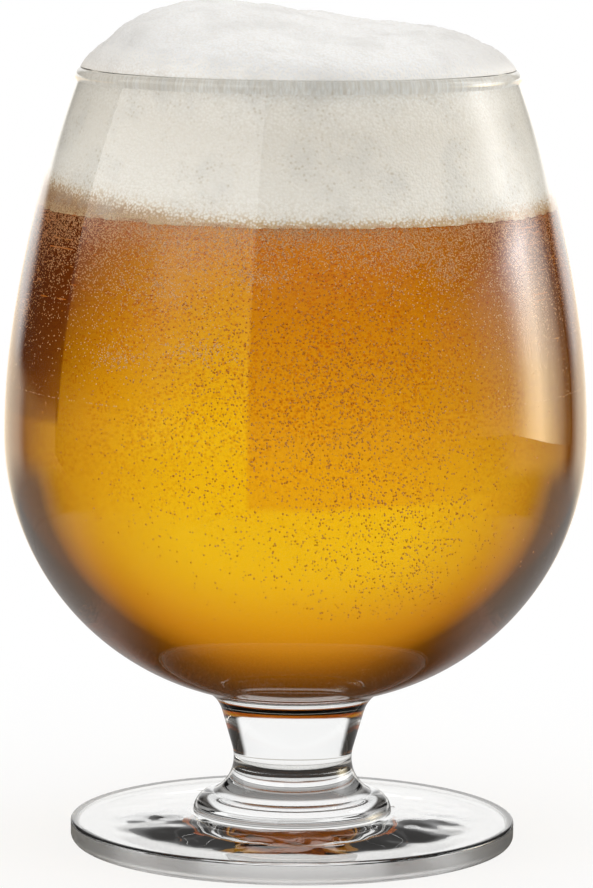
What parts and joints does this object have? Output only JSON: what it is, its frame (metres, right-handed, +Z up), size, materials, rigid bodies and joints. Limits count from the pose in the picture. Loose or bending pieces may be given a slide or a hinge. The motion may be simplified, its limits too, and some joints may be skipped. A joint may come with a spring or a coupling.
{
  "type": "chalice beer glass",
  "caption": "Clear stemmed chalice glass with a rounded bowl leaning in to its mouth, a waisted stem and a flat round foot, filled with amber beer under a swelling head of foam.",
  "frame": {"origin": "centre of the foot, on the table that the glass stands on", "axes": "+Z up along the axis of the glass, +X to the viewer's right in the picture, +Y away from the viewer"},
  "size_m": [0.1008, 0.1008, 0.146],
  "materials": {
    "clear_glass": "clear, smooth soda-lime glass",
    "beer": "clear amber liquid with rising bubbles",
    "foam": "wet froth, matt, with fine cells"
  },
  "bodies": {
    "root": {"bowl": "clear_glass", "stem": "clear_glass", "button": "clear_glass", "foot": "clear_glass", "beer": "beer", "foam_head": "foam"}
  },
  "joints": []
}
